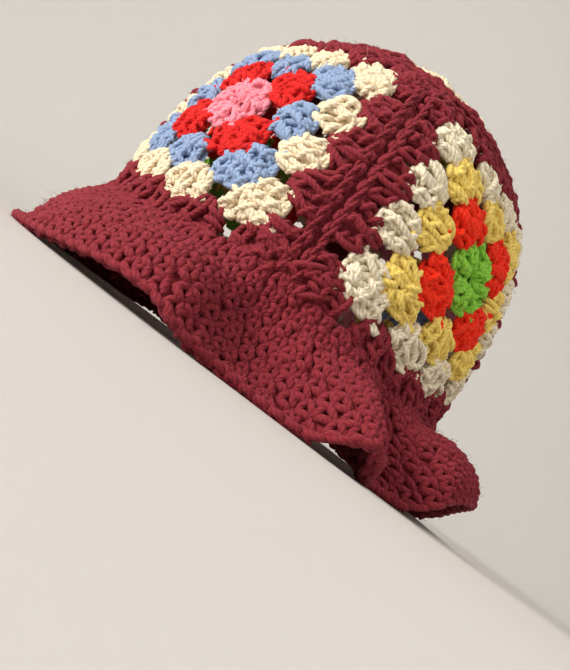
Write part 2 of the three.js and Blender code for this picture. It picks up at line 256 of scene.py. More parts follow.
def brim_surface():
    """The brim's outer face as a grid of points down to the edge, its normals, and its direction outwards."""
    azimuth = np.arange(BRIM_AZIMUTHS) * 360.0 / BRIM_AZIMUTHS
    root, edge = wave_at("root", azimuth), wave_at("edge", azimuth)
    out = plan_normal(azimuth)
    rows = [crown_surface(azimuth, i * BRIM_STEP / CROWN_LENGTH) for i in range(BAND_STEPS, 0, -1)]
    spot = crown_surface(azimuth, np.zeros_like(azimuth))
    for i in range(BRIM_STEPS + 1):
        rows.append(spot.copy())
        slope = np.radians(root + (edge - root) * i / BRIM_STEPS)
        room = np.clip((spot[:, 2] - WALL / 2) / SETTLE_HEIGHT, 0, 1)
        fall = np.where(np.sin(slope) > 0, np.sin(slope) * room, np.sin(slope))
        spot = spot + out * (np.sqrt(1 - fall**2) * BRIM_STEP)[:, None]
        spot[:, 2] -= fall * BRIM_STEP
    grid = np.array(rows)
    along = np.roll(grid, -1, axis=1) - np.roll(grid, 1, axis=1)
    down = np.gradient(grid, axis=0)
    return grid, unit(np.cross(down, along)), down


BRIM_GRID, BRIM_NORMAL, BRIM_HEADING = brim_surface()


def brim_point(azimuth, reach, lift):
    """A point of the brim: reach in mm out from the rim, lift in mm above its outer face."""
    azimuth, reach, lift = np.broadcast_arrays(azimuth, reach, lift)
    column = (azimuth % 360) / 360 * BRIM_AZIMUTHS
    last = BAND_STEPS + BRIM_STEPS
    row = np.clip(reach / BRIM_STEP + BAND_STEPS, 0, last)
    left, top = np.floor(column).astype(int), np.minimum(np.floor(row).astype(int), last - 1)
    across, down = (column - left)[..., None], (row - top)[..., None]
    left, right = left % BRIM_AZIMUTHS, (left + 1) % BRIM_AZIMUTHS

    def sample(grid):
        upper = grid[top, left] * (1 - across) + grid[top, right] * across
        lower = grid[top + 1, left] * (1 - across) + grid[top + 1, right] * across
        return upper * (1 - down) + lower * down
    normal = sample(BRIM_NORMAL)
    past_edge = np.maximum(reach - BRIM_SLANT, 0)[..., None]
    point = sample(BRIM_GRID) + normal * lift[..., None] + unit(sample(BRIM_HEADING)) * past_edge
    return point, normal


def settle(points):
    """Presses what would hang below the surface flat on it."""
    z = points[..., 2]
    points[..., 2] = (z + np.sqrt(z**2 + SETTLE_SOFTNESS)) / 2
    return points


# Strands of yarn

# How strongly a strand's frame leans back to the fabric's normal at each point.
LEAN_TO_NORMAL = 0.35
# How far round the yarn a column of a slab counts, and how many mm along it a row.
SLAB_UV = np.array([0.2, 3.0])


def frames_along(tangent, normals):
    """A direction across each strand that is carried along it and leans to the fabric's normal."""
    upright = normals - tangent * np.sum(normals * tangent, -1, keepdims=True)
    upright[:, 0] = unit(upright[:, 0])
    for i in range(1, tangent.shape[1]):
        before = upright[:, i - 1]
        carried = unit(before - tangent[:, i] * np.sum(before * tangent[:, i], -1, keepdims=True))
        upright[:, i] = unit(carried + LEAN_TO_NORMAL * upright[:, i])
    return upright


def strand_skin(paths, sides, closed):
    """The faces round the strands, and how far round and along the yarn their corners are."""
    strands, count, _ = paths.shape
    spans = count if closed else count - 1
    i, s = np.meshgrid(np.arange(spans), np.arange(sides), indexing="ij")
    j, t = (i + 1) % count, (s + 1) % sides
    quads = np.stack([i * sides + s, j * sides + s, j * sides + t, i * sides + t], -1).reshape(-1, 4)
    quads = (quads[None] + (np.arange(strands) * count * sides)[:, None, None]).reshape(-1, 4)
    steps = np.linalg.norm(np.diff(paths, axis=1), axis=-1)
    if closed:
        steps = np.concatenate([steps, np.linalg.norm(paths[:, :1] - paths[:, -1:], axis=-1)], 1)
    length = np.concatenate([np.zeros((strands, 1)), np.cumsum(steps, 1)], 1)
    around = np.stack([s, s, s + 1, s + 1], -1) / sides
    around = np.broadcast_to(around.reshape(1, -1, 4), (strands, spans * sides, 4))
    start, end = length[:, i.ravel()], length[:, i.ravel() + 1]
    along = np.stack([start, end, end, start], -1)
    return quads, np.stack([around, along], -1).reshape(-1, 4, 2)


def strand_caps(strands, count, sides):
    """A face over both ends of each strand."""
    base = (np.arange(strands) * count * sides)[:, None]
    first = base + np.arange(sides)[None]
    last = base + (count - 1) * sides + np.arange(sides)[::-1][None]
    return [*first, *last]


def sweep(paths, normals, radius, sides, closed):
    """Round strands along many paths at once. paths is (strands, points, 3); the radius may vary."""
    strands, count, _ = paths.shape
    if closed:
        tangent = unit(np.roll(paths, -1, axis=1) - np.roll(paths, 1, axis=1))
    else:
        tangent = unit(np.gradient(paths, axis=1))
    upright = frames_along(tangent, normals)
    sideways = np.cross(tangent, upright)
    angle = 2 * math.pi * np.arange(sides) / sides
    radius = np.broadcast_to(np.asarray(radius, float), (strands, count))[..., None, None]
    ring = np.cos(angle)[:, None] * sideways[:, :, None] + np.sin(angle)[:, None] * upright[:, :, None]
    points = (paths[:, :, None] + radius * ring).reshape(-1, 3)
    quads, uv = strand_skin(paths, sides, closed)
    caps = [] if closed else strand_caps(strands, count, sides)
    return {"points": points, "quads": quads, "uv": uv, "caps": caps}


def sweep_grid(points, normals, radius, sides, closed):
    """The same for paths in a grid of any shape."""
    count = points.shape[-2]
    return sweep(points.reshape(-1, count, 3), normals.reshape(-1, count, 3), radius, sides, closed)


def slabs(top, under, closed):
    """Thin closed sheets between grids of points (sheets, rows out, columns across, 3)."""
    sheets, rows, columns, _ = top.shape
    points = np.stack([top, under], 1).reshape(-1, 3)
    upper, lower = np.arange(2 * rows * columns).reshape(2, rows, columns)
    if closed:
        upper, lower = (np.concatenate([grid, grid[:, :1]], 1) for grid in (upper, lower))

    def cells(grid):
        return [grid[:-1, :-1], grid[1:, :-1], grid[1:, 1:], grid[:-1, 1:]]

    def wall(above, below):
        return [above[:-1], above[1:], below[1:], below[:-1]]
    faces = [cells(upper), cells(lower)[::-1]]
    faces += [wall(upper[0], lower[0]), wall(upper[-1][::-1], lower[-1][::-1])]
    if not closed:
        faces += [wall(upper[::-1, 0], lower[::-1, 0]), wall(upper[:, -1], lower[:, -1])]
    quads = np.concatenate([np.stack([corner.ravel() for corner in face], -1) for face in faces])
    place = np.stack(np.meshgrid(np.arange(rows), np.arange(columns), indexing="ij"), -1).reshape(-1, 2)
    place = np.concatenate([place, place])[:, ::-1] * SLAB_UV
    uv = np.tile(place[quads], (sheets, 1, 1))
    quads = (quads[None] + (np.arange(sheets) * 2 * rows * columns)[:, None, None]).reshape(-1, 4)
    return {"points": points, "quads": quads, "uv": uv, "caps": []}


def join(parts):
    """Several sets of strands as one."""
    offset = 0
    points, quads, uv, caps = [], [], [], []
    for part in parts:
        points.append(part["points"])
        quads.append(part["quads"] + offset)
        uv.append(part["uv"])
        caps.extend(cap + offset for cap in part["caps"])
        offset += len(part["points"])
    return {"points": np.concatenate(points), "quads": np.concatenate(quads),
            "uv": np.concatenate(uv), "caps": caps}


# Loose fibres

FIBRES_PER_CLUSTER = 22
BRIM_FIBRES = 5200
FIBRE_SIDES = 3
# The first four are in mm. The rest are shares of a fibre's length: how it rises, leans and bends, and how
# far chance moves it.
FIBRE = {"radius": 0.07, "shortest": 1.5, "longest": 4.5, "root": 0.2,
         "rise": 0.45, "lean": 0.8, "bend": 0.2, "tip_scatter": 0.25, "bend_scatter": 0.15}
FIBRE_TAPER = np.array([[1.0, 0.9, 0.5]])


def fuzz(strands, count):
    """Loose fibres that stand out from the yarn."""
    corners = strands["points"][strands["quads"][rng.integers(len(strands["quads"]), size=count)]]
    root = corners.mean(1)
    along = corners[:, 1] - corners[:, 0]
    out = unit(np.cross(along, corners[:, 2] - corners[:, 0]))
    along = unit(along)
    length = rng.uniform(FIBRE["shortest"], FIBRE["longest"], (count, 1))
    lean = rng.normal(0, FIBRE["lean"], (count, 1))
    tip_scatter = rng.normal(0, FIBRE["tip_scatter"], (count, 3))
    bend_scatter = rng.normal(0, FIBRE["bend_scatter"], (count, 3))
    tip = root + length * (FIBRE["rise"] * out + lean * along + tip_scatter)
    bend = (root + tip) / 2 + length * (FIBRE["bend"] * out + bend_scatter)
    paths = np.stack([root - FIBRE["root"] * out, bend, tip], 1)
    normals = np.repeat(out[:, None], paths.shape[1], axis=1)
    return sweep(paths, normals, FIBRE["radius"] * FIBRE_TAPER, FIBRE_SIDES, False)


def piece(name, strands, yarn, *nodes):
    """The strands as one mesh object, which stands for the CAD nodes that are named."""
    mesh = bpy.data.meshes.new(name)
    points = strands["points"] * MM
    quads, caps, uv = strands["quads"], strands["caps"], strands["uv"]
    loops = np.concatenate([quads.ravel(), *caps]) if caps else quads.ravel()
    sizes = np.concatenate([np.full(len(quads), 4), [len(cap) for cap in caps]]).astype(int)
    starts = np.concatenate([[0], np.cumsum(sizes)[:-1]])
    mesh.vertices.add(len(points))
    mesh.vertices.foreach_set("co", points.astype(np.float32).ravel())
    mesh.loops.add(len(loops))
    mesh.loops.foreach_set("vertex_index", loops.astype(np.int32))
    mesh.polygons.add(len(sizes))
    mesh.polygons.foreach_set("loop_start", starts.astype(np.int32))
    mesh.polygons.foreach_set("loop_total", sizes.astype(np.int32))
    layer = mesh.uv_layers.new(name="along_yarn")
    all_uv = np.zeros((len(loops), 2), np.float32)
    all_uv[:len(quads) * 4] = uv.reshape(-1, 2)
    layer.data.foreach_set("uv", all_uv.ravel())
    mesh.update(calc_edges=True)
    mesh.polygons.foreach_set("use_smooth", np.ones(len(sizes), bool))
    mesh.validate()
    mesh.materials.append(yarn_material(yarn))
    obj = bpy.data.objects.new(name, mesh)
    bpy.context.scene.collection.objects.link(obj)
    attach(obj, "root")
    if nodes:
        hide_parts(*nodes)
    return obj


# Clusters of three double crochets. Places along the side of a square are in spacings of the clusters, places
# out from its middle in rounds, and lifts over the crown in mm. The three posts of a cluster are -1, 0 and 1.

YARN_RADIUS = 1.5
STRAND_SIDES = 5
POSTS = np.array([-1.0, 0.0, 1.0])

# The three sorts of cluster. A foot is measured from the round below, and narrow is a post's width at its
# foot as a share of its full width.
CLUSTERS = {
    "centre": {"foot": 0.2, "middle_foot": 0.0, "foot_width": 0.055, "narrow": 0.35,
               "spread": 0.32, "crest": 0.16, "lean": 0.13},
    "coloured": {"foot": -0.24, "middle_foot": -0.12, "foot_width": 0.15, "narrow": 1.0,
                 "spread": 0.32, "crest": 0.16, "lean": 0.13},
    "border": {"foot": -0.24, "middle_foot": -0.12, "foot_width": 0.15, "narrow": 1.0,
               "spread": 0.38, "crest": 0.06, "lean": 0.2},
}
# The inner yarn of each sort of cluster.
PADS = {
    "centre": {"foot": 0.12, "length": 0.98, "foot_width": 0.10, "width": 0.45},
    "coloured": {"foot": -0.10, "length": 1.10, "foot_width": 0.27, "width": 0.45},
    "border": {"foot": -0.10, "length": 1.10, "foot_width": 0.27, "width": 0.52},
}
FAN_POWER = 0.9
CLUSTER_CHANCE = {"out": 0.025, "spread": 0.015}

# A post: its path over the crown, which dives at both ends, and the bundle of strands that wind along it.
POST_PATH = {"base": -1.7, "arch": 1.5, "outer_drop": 0.7,
             "foot_dive": 2.0, "top_dive": 0.9, "dive_length": 0.18}
POST = {"strands": 3, "points": 11, "turns": 0.4, "width": 0.085, "depth": 1.0,
        "least_girth": 0.55, "girth_start": 0.1, "girth_power": 0.6, "end_thickness": 0.7}
POST_CHANCE = {"turns": 0.5, "start": 0.13, "across": 0.012, "lift": 0.35, "thickness": 0.08,
               "sway": 0.018, "sway_phase": 2.0, "rise": 0.3, "rise_turn": 5.0,
               "knob_turn": 7.0, "knob_phase": 3.0}

# A wrap: the two heights on the post, and the slant and arch of the loop. Most of them slant the same way.
WRAP_HEIGHTS = np.array([0.36, 0.74])
WRAP = {"points": 7, "slant": 0.14, "same_way": 1.2, "least": 0.02, "width": 0.155,
        "arch": 1.5, "dip": 1.4, "thickness": 0.9, "thin_ends": 0.25}
WRAP_CHANCE = {"height": 0.04, "slant": 0.03, "width": 0.015, "arch": 0.3}

# A link of the chain along the tops: where it lies, its size and shape, how the crest follows the cluster,
# and how it rises and falls.
LINK = {"points": 10, "stitch": 0.31, "corner": 0.46, "corner_sink": 1.3,
        "half_length": 0.2, "half_width": 0.1, "skew": 0.03, "slant": 0.06,
        "inset": 0.06, "crest": 0.13, "crest_width": 0.2,
        "base": -1.7, "roll": 0.9, "twist": 0.6, "thickness": 0.9}
LINK_CHANCE = {"length": 0.012, "out": 0.025, "lift": 0.3}

# A pad of inner yarn.
PAD = {"rows": 5, "columns": 7, "width_power": 0.7, "round_top": 0.12,
       "top": -1.9, "under": -3.3, "thin_sides": 0.6}


def on_square(place, side, along, out, lift):
    """From a place beside a side of the square to a point: along in spacings, out in rounds, lift in mm."""
    side, along, out, lift = np.broadcast_arrays(side, along, out, lift)
    a, b = along * 2 / ROUNDS, out / ROUNDS
    u = np.choose(side, [a, b, -a, -b])
    v = np.choose(side, [-b, a, b, -a])
    azimuth, share = place(u, v)
    normal = crown_normal(azimuth, share)
    return crown_surface(azimuth, share) + normal * lift[..., None], normal


def cluster_kind(ring):
    if ring == 1:
        return "centre"
    return "border" if ring == ROUNDS else "coloured"


def cluster_rows(ring):
    """The clusters of one round: the side of the square, the place along it, and the lean to its corner."""
    grids = np.meshgrid(np.arange(SQUARE_SIDES), np.arange(ring), indexing="ij")
    side, index = (grid.ravel() for grid in grids)
    along = index - (ring - 1) / 2
    lean = CLUSTERS[cluster_kind(ring)]["lean"] * ((index == ring - 1).astype(float) - (index == 0))
    return side, along, lean


def cluster_shape(ring, post, t, wobble):
    """Where a post runs from foot to top: its share of the fan, its spread, and its way out."""
    kind = CLUSTERS[cluster_kind(ring)]
    foot = ring - 1 + (kind["foot"] + kind["middle_foot"] * (post == 0))
    out = mix(foot, ring + kind["crest"] * (post == 0), t) + CLUSTER_CHANCE["out"] * wobble[0]
    fan = np.sin(t * math.pi / 2) ** FAN_POWER
    spread = mix(kind["foot_width"], kind["spread"], fan) + CLUSTER_CHANCE["spread"] * wobble[1]
    return fan, spread * post, out


def post_lift(post, t):
    """How high a post lies over the crown at a share of its length."""
    foot = np.clip(1 - t / POST_PATH["dive_length"], 0, 1) ** 2
    top = np.clip((t - 1) / POST_PATH["dive_length"] + 1, 0, 1) ** 2
    arch = POST_PATH["arch"] * np.sin(math.pi * t)
    lift = POST_PATH["base"] + arch - POST_PATH["outer_drop"] * np.abs(post)
    return lift - POST_PATH["foot_dive"] * foot - POST_PATH["top_dive"] * top


def post_strands(place, ring):
    """Three posts to a cluster, each of three strands side by side that cross slowly and fan out."""
    side, along, lean = (row[:, None, None, None] for row in cluster_rows(ring))
    strands = POST["strands"]
    chance = POST_CHANCE
    wobble = rng.normal(0, 1, (3, len(side), len(POSTS), 1, 1))
    loose = rng.normal(0, 1, (4, len(side), len(POSTS), strands, 1))
    post = POSTS[None, :, None, None]
    strand = np.arange(strands)[None, None, :, None]
    t = np.linspace(0, 1, POST["points"])[None, None, None, :]
    fan, spread, out = cluster_shape(ring, post, t, wobble)
    wound = POST["turns"] * (1 + chance["turns"] * wobble[2]) * t
    turn = 2 * math.pi * (wound + strand / strands + chance["start"] * loose[0])
    bulge = np.sin(math.pi * np.clip(mix(POST["girth_start"], 1, t), 0, 1)) ** POST["girth_power"]
    girth = mix(POST["least_girth"], 1, bulge)
    narrow = mix(CLUSTERS[cluster_kind(ring)]["narrow"], 1, t)
    sway = chance["sway"] * loose[2] * np.sin(2 * math.pi * t + chance["sway_phase"] * loose[3])
    wander = POST["width"] * girth * np.cos(turn) + chance["across"] * loose[1] + sway
    across = along + lean * fan + spread + narrow * wander
    rise = chance["lift"] * loose[1] + chance["rise"] * loose[3] * np.sin(chance["rise_turn"] * t)
    lift = post_lift(post, t) + POST["depth"] * girth * np.sin(turn) + rise
    knobs = np.sin(chance["knob_turn"] * t + chance["knob_phase"] * loose[0])
    thickness = YARN_RADIUS * (1 + chance["thickness"] * knobs).reshape(-1, POST["points"])
    thickness[:, [0, -1]] *= POST["end_thickness"]
    points, normals = on_square(place, side, across, out, lift)
    return sweep_grid(points, normals, thickness, STRAND_SIDES, False)


def wrap_strands(place, ring):
    """The loops that cross each post, one low and one high, with the yarn slanting up over the front."""
    side, along, lean = (row[:, None, None, None] for row in cluster_rows(ring))
    chance = WRAP_CHANCE
    wobble = rng.normal(0, 1, (5, len(side), len(POSTS), len(WRAP_HEIGHTS), 1))
    post = POSTS[None, :, None, None]
    height = WRAP_HEIGHTS[None, None, :, None] + chance["height"] * wobble[0]
    part = np.linspace(-1, 1, WRAP["points"])[None, None, None, :]
    slant = np.sign(wobble[1] + WRAP["same_way"]) * (WRAP["slant"] + chance["slant"] * wobble[2])
    t = np.clip(height + slant * part, WRAP["least"], 1 - WRAP["least"])
    fan, spread, out = cluster_shape(ring, post, t, (0, 0))
    narrow = mix(CLUSTERS[cluster_kind(ring)]["narrow"], 1, t)
    across = along + lean * fan + spread + narrow * (WRAP["width"] + chance["width"] * wobble[3]) * part
    arch = (WRAP["arch"] + chance["arch"] * wobble[4]) * (1 - part**2)
    lift = post_lift(post, t) + arch - WRAP["dip"] * part**2
    points, normals = on_square(place, side, across, out, lift)
    thickness = YARN_RADIUS * (WRAP["thickness"] - WRAP["thin_ends"] * part.reshape(1, -1) ** 4)
    return sweep_grid(points, normals, thickness, STRAND_SIDES, False)


def chain_links(place, ring):
    """The chain along the tops of the stitches, one link to a stitch, and two in each corner space."""
    side, along, lean = cluster_rows(ring)
    stitches = ((along + lean)[:, None] + LINK["stitch"] * POSTS[None]).ravel()
    half = (ring - 1) / 2
    corner = half + LINK["corner"]
    at = np.concatenate([stitches, np.tile([-corner, corner], SQUARE_SIDES)])[:, None]
    at_side = np.concatenate([np.repeat(side, len(POSTS)), np.repeat(np.arange(SQUARE_SIDES), 2)])[:, None]
    in_corner = np.arange(len(at))[:, None] >= len(stitches)
    angle = (2 * math.pi * np.arange(LINK["points"]) / LINK["points"])[None]
    wobble = rng.normal(0, 1, (3, len(at), 1))
    length = LINK["half_length"] + LINK_CHANCE["length"] * wobble[2]
    across = at + length * np.cos(angle) + LINK["skew"] * np.sin(angle)
    from_middle = at - (np.round(at + half) - half)
    crest = LINK["crest"] * np.exp(-(from_middle / LINK["crest_width"]) ** 2) * (ring < ROUNDS)
    slant = LINK["half_width"] * np.sin(angle) + LINK["slant"] * np.cos(angle)
    out = ring - LINK["inset"] + crest + slant + LINK_CHANCE["out"] * wobble[0]
    tilt = LINK["roll"] * np.cos(angle) + LINK["twist"] * np.sin(2 * angle)
    lift = LINK["base"] - LINK["corner_sink"] * in_corner + tilt + LINK_CHANCE["lift"] * wobble[1]
    points, normals = on_square(place, at_side, across, out, lift)
    return sweep(points, normals, YARN_RADIUS * LINK["thickness"], STRAND_SIDES, True)


def cluster_pads(place, ring):
    """The inner yarn of each cluster, which closes the gaps between its strands."""
    side, along, lean = (row[:, None, None] for row in cluster_rows(ring))
    kind = PADS[cluster_kind(ring)]
    t = np.linspace(0, 1, PAD["rows"])[None, :, None]
    across = np.linspace(-1, 1, PAD["columns"])[None, None, :]
    width = mix(kind["foot_width"], kind["width"], t ** PAD["width_power"])
    reach = ring - 1 + kind["foot"] + kind["length"] * t * (1 - PAD["round_top"] * across**2)
    thin = PAD["thin_sides"] * np.abs(across) ** 3
    place_along = along + lean * t + across * width
    top, _ = on_square(place, side, place_along, reach, PAD["top"] - thin)
    under, _ = on_square(place, side, place_along, reach, PAD["under"] + thin)
    return slabs(top, under, False)


def round_strands(name, ring):
    """All the yarn of one round of a square."""
    place = square_place(name)
    strands = [make(place, ring) for make in (post_strands, wrap_strands, chain_links, cluster_pads)]
    return join([*strands, fuzz(join(strands[:3]), FIBRES_PER_CLUSTER * SQUARE_SIDES * ring)])


# Joining seams: two ropes of whip stitches with slanted stitches in the valley. Sizes in mm.

SEAM_SIDES = 6
ROPE = {"radius": 0.85, "winding": 0.8, "twist": 13.0, "step": 1.3, "place": 3.5, "lift": -0.3}
# The squares' joined edges lie under the ropes. Their places across are in shares of the ropes' place.
BED_PLACES = np.array([1.4, 0.5, -0.5, -1.4])
BED = {"depth": 2.6, "thickness": 1.4}
VALLEY = {"every": 3, "end_gap": 6, "points": 7, "slant": 2.2, "depth": 3.6, "rise": 1.8, "radius": 1.3}
# Round the top square, whose rounded corners make it shorter than eight times its half side.
TOP_SEAM_ROUNDING = 0.84
TOP_SEAM_LENGTH = 8 * (1 - TOP_EDGE_AT_MIDDLE) * CROWN_LENGTH * TOP_SEAM_ROUNDING


def rope(spine, normals, across):
    """Two strands twisted round each other along a spine. across points from rope to rope."""
    length = np.concatenate([[0], np.cumsum(np.linalg.norm(np.diff(spine, axis=0), axis=-1))])
    strands = []
    for start in (0, math.pi):
        turn = (2 * math.pi * length / ROPE["twist"] + start)[:, None]
        strands.append(spine + ROPE["winding"] * (np.cos(turn) * across + np.sin(turn) * normals))
    return np.array(strands), np.array([normals, normals])


def valley_stitches(middle, normal, heading, across):
    """Slanted stitches between the ropes."""
    pick = np.arange(0, len(middle) - VALLEY["end_gap"], VALLEY["every"])
    part = np.linspace(-1, 1, VALLEY["points"])[None, :, None]
    slant = heading[pick][:, None] * part * VALLEY["slant"]
    sag = normal[pick][:, None] * (VALLEY["rise"] * part**2 - VALLEY["depth"])
    paths = middle[pick][:, None] + across[pick][:, None] * part * ROPE["place"] + slant + sag
    normals = np.repeat(normal[pick][:, None], VALLEY["points"], axis=1)
    return sweep(paths, normals, VALLEY["radius"], SEAM_SIDES, False)


def seam_steps(length, closed):
    """Places from 0 to 1 along a seam of that length."""
    count = int(length / ROPE["step"])
    return np.arange(count) / count if closed else np.linspace(0, 1, count)


def seam_strands(azimuth, share, closed):
    """A double ridge along a line on the crown."""
    middle, normal = crown_surface(azimuth, share), crown_normal(azimuth, share)
    if closed:
        heading = unit(np.roll(middle, -1, axis=0) - np.roll(middle, 1, axis=0))
    else:
        heading = unit(np.gradient(middle, axis=0))
    across = np.cross(normal, heading)
    parts = []
    for side in (-1, 1):
        spine = middle + across * side * ROPE["place"] + normal * ROPE["lift"]
        paths, normals = rope(spine, normal, across)
        parts.append(sweep(paths, normals, ROPE["radius"], SEAM_SIDES, closed))
    bed = BED_PLACES[None, :, None, None] * ROPE["place"] * across
    top = middle + bed - BED["depth"] * normal
    parts.append(slabs(top, top - BED["thickness"] * normal, closed))
    parts.append(valley_stitches(middle, normal, heading, across))
    return join([*parts, fuzz(join(parts[:2]), len(middle))])


# The brim in single crochet. Places across are in stitches, places out in rows, and lifts in mm.

BRIM_STITCHES = 116
BRIM_ROWS = 8
ROW_DRIFT = 0.3
BRIM_YARN = 1.6
STITCH_WIDTH = 360 / BRIM_STITCHES

# The loop of one stitch: up one leg, behind, and down the other.
STITCH = [
    {"across": 0.00, "out": -0.05, "lift": 0.2},
    {"across": -0.13, "out": 0.20, "lift": 1.3},
    {"across": -0.27, "out": 0.52, "lift": 1.6},
    {"across": -0.38, "out": 0.84, "lift": 0.8},
    {"across": -0.34, "out": 1.08, "lift": -0.8},
    {"across": -0.12, "out": 1.08, "lift": -1.8},
    {"across": 0.14, "out": 1.00, "lift": -1.8},
    {"across": 0.38, "out": 0.96, "lift": -0.6},
    {"across": 0.38, "out": 0.76, "lift": 0.9},
    {"across": 0.27, "out": 0.46, "lift": 1.6},
    {"across": 0.13, "out": 0.14, "lift": 1.3},
    {"across": 0.05, "out": -0.06, "lift": 0.6},
]
# How far all the loops lie back towards the crown, and above the middle of the fabric, in mm.
STITCH_BACK = 0.3
STITCH_LIFT = 0.1
STITCH_CHANCE = {"width": 0.1, "across": 0.11, "out": 0.09, "lift": 0.2}
BAR = {"points": 6, "half_width": 0.42, "out": 0.98, "slant": 0.2, "lift": 2.1, "dip": 3.4,
       "thickness": 1.05, "thin_ends": 0.35}
BAR_CHANCE = {"across": 0.08, "slant": 0.06, "out": 0.05, "lift": 0.14}
# A link of the chain along the edge: its half length in stitches, and the rest in mm.
EDGE_LINK = {"sides": 6, "half_length": 0.6, "inset": 0.2, "out": 1.0,
             "slant": 0.7, "lift": 1.5, "roll": 0.6}
# The inner yarn, which ends a little short of the edge.
INNER = {"rows": 9, "columns": 120, "short": 0.1, "half_thickness": 0.6}


def brim_reach(azimuth, row):
    """How far out from the rim a row lies. The rows run from the squares' foot to the edge."""
    return mix(-foot_share(azimuth) * CROWN_LENGTH, BRIM_SLANT, row / BRIM_ROWS)


def brim_legs(stitch, row, wobble):
    """The loops of the stitches."""
    across, out, lift = (np.array([point[key] for point in STITCH]) for key in ("across", "out", "lift"))
    chance = STITCH_CHANCE
    in_stitch = across * (1 + chance["width"] * wobble[0]) + chance["across"] * wobble[1]
    azimuth = STITCH_WIDTH * (stitch + ROW_DRIFT * row + in_stitch)
    reach = brim_reach(azimuth, row + out + chance["out"] * wobble[2]) - STITCH_BACK
    depth = STITCH_LIFT - WALL / 2 + lift * (1 + chance["lift"] * wobble[3])
    points, normals = brim_point(azimuth, reach, depth)
    return sweep_grid(points, normals, BRIM_YARN, STRAND_SIDES, True)


def brim_bars(stitch, row, wobble):
    """The front strand across the top of each stitch, which makes the fabric knobbly."""
    part = np.linspace(-1, 1, BAR["points"])
    chance = BAR_CHANCE
    in_stitch = BAR["half_width"] * part + chance["across"] * wobble[1]
    azimuth = STITCH_WIDTH * (stitch + ROW_DRIFT * row + in_stitch)
    slant = (BAR["slant"] + chance["slant"] * wobble[0]) * part
    reach = brim_reach(azimuth, row + BAR["out"] + slant + chance["out"] * wobble[2])
    depth = -WALL / 2 + BAR["lift"] * (1 + chance["lift"] * wobble[3]) - BAR["dip"] * part**2
    points, normals = brim_point(azimuth, reach, depth)
    thickness = BRIM_YARN * (BAR["thickness"] - BAR["thin_ends"] * part**4)
    return sweep_grid(points, normals, thickness[None], STRAND_SIDES, False)


def brim_edge():
    """The chain of links along the edge."""
    angle = (2 * math.pi * np.arange(LINK["points"]) / LINK["points"])[None]
    stitch = np.arange(BRIM_STITCHES)[:, None] + ROW_DRIFT * BRIM_ROWS
    azimuth = STITCH_WIDTH * (stitch + EDGE_LINK["half_length"] * np.cos(angle))
    slant = EDGE_LINK["out"] * np.sin(angle) + EDGE_LINK["slant"] * np.cos(angle)
    reach = BRIM_SLANT - EDGE_LINK["inset"] + slant
    depth = -WALL / 2 + EDGE_LINK["lift"] * np.sin(angle) + EDGE_LINK["roll"] * np.cos(angle)
    points, normals = brim_point(azimuth, reach, depth)
    return sweep(points, normals, BRIM_YARN, EDGE_LINK["sides"], True)


def brim_inner():
    """The inner yarn of the brim, which closes the gaps between its stitches."""
    azimuth = (np.arange(INNER["columns"]) * 360 / INNER["columns"])[None, None, :]
    rows = np.linspace(0, BRIM_ROWS - INNER["short"], INNER["rows"])[None, :, None]
    reach = brim_reach(azimuth, rows)
    top, _ = brim_point(azimuth, reach, INNER["half_thickness"] - WALL / 2)
    under, _ = brim_point(azimuth, reach, -INNER["half_thickness"] - WALL / 2)
    return slabs(top, under, True)


def brim_strands():
    """The brim's stitches, and the fibres that stand out from them."""
    stitch = np.arange(BRIM_STITCHES)[:, None, None]
    row = np.arange(BRIM_ROWS)[None, :, None]
    wobble = rng.normal(0, 1, (4, BRIM_STITCHES, BRIM_ROWS, 1))
    shown = [brim_legs(stitch, row, wobble), brim_bars(stitch, row, wobble), brim_edge()]
    strands = join([*shown, brim_inner()])
    fibres = fuzz(join(shown), BRIM_FIBRES)
    settle(strands["points"])
    settle(fibres["points"])
    return strands, fibres


# Yarn material

# Noise scales, and how strongly the plies, the fibres and soft patches change lightness and roughness. The
# plies' change of lightness (crown and valley) is painted light on their crowns and painted shade between
# them.
YARN_LOOK = {"ply_power": 0.6, "fibres_round": 26.0, "fibres_along": 0.55, "fibres_up": 60.0,
             "fibre_scale": 1.0, "fibre_detail": 3.0, "patch_scale": 90.0, "patch_detail": 2.0,
             "middle": 0.5, "streaks": 1.6, "patches": 1.5, "crown": 0.28, "valley": 0.8,
             "rough": 0.72, "rough_fibres": 0.2, "high_fibres": 0.5}
YARN_FINISH = {"plies": 3.0, "twist_mm": 6.5, "bump": 0.8, "bump_m": 0.0004, "sheen": 0.3,
               "sheen_power": 0.5, "sheen_roughness": 0.5, "specular": 0.25}
SRGB = {"bend": 0.04045, "slope": 12.92, "offset": 0.055, "power": 2.4}


def math_node(group, operation, first, second=None):
    node = group.nodes.new("ShaderNodeMath")
    node.operation = operation
    for slot_index, value in enumerate((first, second)):
        if value is None:
            continue
        if isinstance(value, (int, float)):
            node.inputs[slot_index].default_value = value
        else:
            group.links.new(value, node.inputs[slot_index])
    return node.outputs[0]


def noise_node(group, vector, scale, detail):
    node = group.nodes.new("ShaderNodeTexNoise")
    node.inputs["Scale"].default_value = scale
    node.inputs["Detail"].default_value = detail
    group.links.new(vector, node.inputs["Vector"])
    return node.outputs["Fac"]


def swing(group, noise, strength):
    """A noise as a change up and down from nothing."""
    return math_node(group, "MULTIPLY", math_node(group, "SUBTRACT", noise, YARN_LOOK["middle"]), strength)


